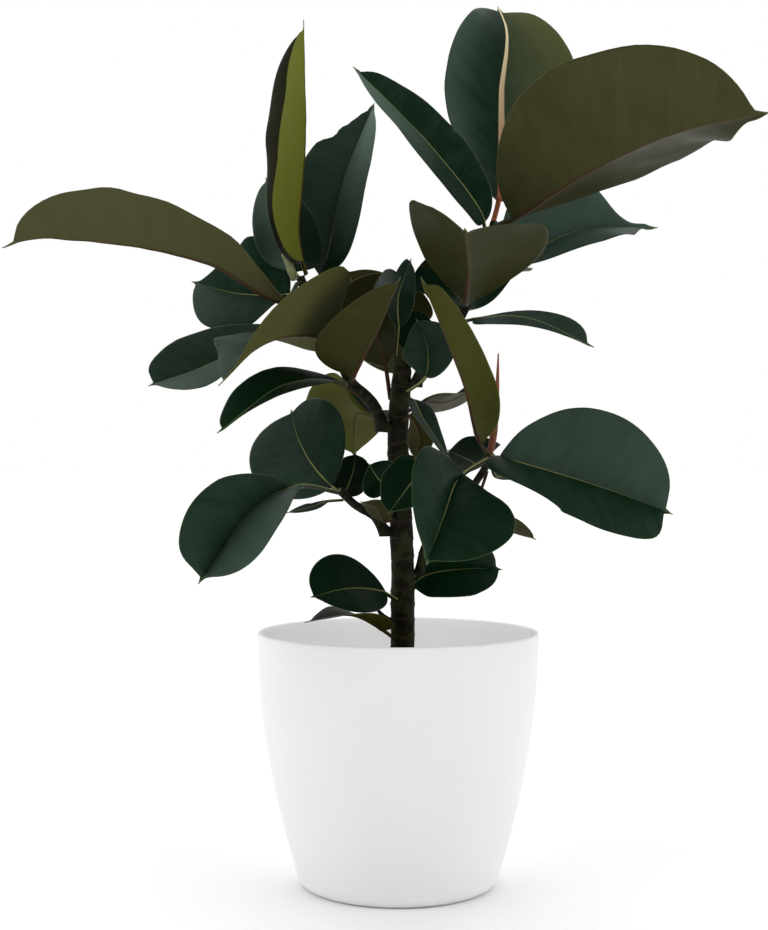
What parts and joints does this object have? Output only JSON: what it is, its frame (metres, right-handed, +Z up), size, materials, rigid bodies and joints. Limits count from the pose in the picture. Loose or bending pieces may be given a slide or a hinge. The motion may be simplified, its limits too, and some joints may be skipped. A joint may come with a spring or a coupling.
{
  "type": "potted rubber plant",
  "caption": "Rubber plant with a bare woody trunk, short side branches and large glossy oval leaves, rooted in soil in a smooth round tapered planter that stands on the floor.",
  "frame": {"origin": "the middle of the planter's flat bottom", "axes": "+Z up along the planter's axis, -Y towards the front of the plant, +X to the viewer's right"},
  "size_m": [0.6189, 0.3601, 0.8157],
  "materials": {
    "planter": "smooth satin white",
    "soil": "crumbly dark potting soil",
    "bark": "grey-brown bark with pale pores",
    "leaf_green": "glossy dark green above, dull olive below",
    "leaf_young": "satin yellow-green",
    "bud": "satin red-brown sheath"
  },
  "bodies": {
    "root": {"pot": "planter", "soil": "soil", "trunk": "bark", "branch_left": "bark", "branch_right": "bark", "branch_low_left": "bark", "branch_low_right": "bark", "twig_foot": "bark", "bud_left": "bud", "bud_low_right": "bud", "leaf_right_front": "leaf_green", "leaf_right_upright": "leaf_green", "leaf_right_inner": "leaf_green", "leaf_right_back": "leaf_green", "leaf_right_cupped": "leaf_green", "leaf_right_hidden": "leaf_green", "leaf_right_low": "leaf_green", "leaf_left_long": "leaf_green", "leaf_left_young": "leaf_young", "leaf_left_torn": "leaf_green", "leaf_left_behind": "leaf_green", "leaf_left_dark": "leaf_green", "leaf_left_low": "leaf_green", "leaf_left_front": "leaf_green", "leaf_left_cupped": "leaf_green", "leaf_left_arching": "leaf_green", "leaf_middle_back": "leaf_young", "leaf_middle_dark": "leaf_green", "leaf_middle_creased": "leaf_green", "leaf_middle_small": "leaf_green", "leaf_middle_left": "leaf_green", "leaf_trunk_arching": "leaf_green", "leaf_trunk_right": "leaf_green", "leaf_trunk_narrow": "leaf_green", "leaf_trunk_hanging": "leaf_young", "leaf_trunk_front": "leaf_green", "leaf_low_right_tall": "leaf_young", "leaf_low_right_large": "leaf_green", "leaf_low_right_front": "leaf_green", "leaf_low_right_inner": "leaf_green", "leaf_low_right_small": "leaf_green", "leaf_low_right_back": "leaf_green", "leaf_low_left_large": "leaf_green", "leaf_low_left_round": "leaf_green", "leaf_low_left_small": "leaf_green", "leaf_low_left_pointed": "leaf_green", "leaf_foot_inner": "leaf_green", "leaf_foot_narrow": "leaf_green", "leaf_foot_left": "leaf_green", "leaf_foot_lowest": "leaf_green", "leaf_foot_right": "leaf_green"}
  },
  "joints": []
}
